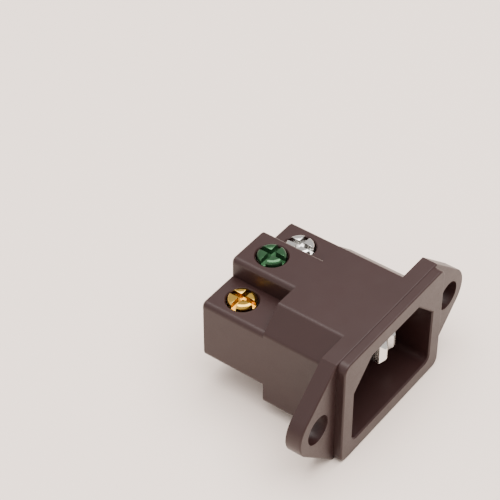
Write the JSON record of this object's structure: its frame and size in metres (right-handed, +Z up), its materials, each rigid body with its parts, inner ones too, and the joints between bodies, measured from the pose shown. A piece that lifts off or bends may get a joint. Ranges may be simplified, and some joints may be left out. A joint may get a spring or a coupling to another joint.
{
  "type": "panel power inlet",
  "caption": "Panel inlet for mains power: keyed socket with flat pins in front, screw-clamp cable terminals in the stepped rear of its housing.",
  "frame": {"origin": "midway between the two mounting holes, in the plane where the flange's rear face lies against the panel", "axes": "-Y out of the socket towards the user, +Y towards the cable, +X to the right seen from the front, +Z up, the side of the earth pin"},
  "size_m": [0.05, 0.0308, 0.0235],
  "materials": {
    "housing": "fine matt moulded surface, dark brown",
    "silver_plate": "bright silver plating on brass",
    "gold_plate": "bright gold plating on brass",
    "green_plate": "glossy green coating on brass",
    "nickel_plate": "bright nickel plating on brass"
  },
  "bodies": {
    "root": {"housing": "housing", "line_contact": "silver_plate", "earth_contact": "silver_plate", "neutral_contact": "silver_plate", "line_plate": "silver_plate", "earth_plate": "silver_plate", "neutral_plate": "silver_plate"},
    "line_screw": {"line_screw": "gold_plate"},
    "earth_screw": {"earth_screw": "green_plate"},
    "neutral_screw": {"neutral_screw": "nickel_plate"}
  },
  "joints": [
    {"name": "line_screw_travel", "type": "slide", "parent": "root", "child": "line_screw", "axis": [0, 0, 1], "range_m": [0, 0.006]},
    {"name": "earth_screw_travel", "type": "slide", "parent": "root", "child": "earth_screw", "axis": [0, 0, 1], "range_m": [0, 0.006]},
    {"name": "neutral_screw_travel", "type": "slide", "parent": "root", "child": "neutral_screw", "axis": [0, 0, 1], "range_m": [0, 0.006]}
  ]
}
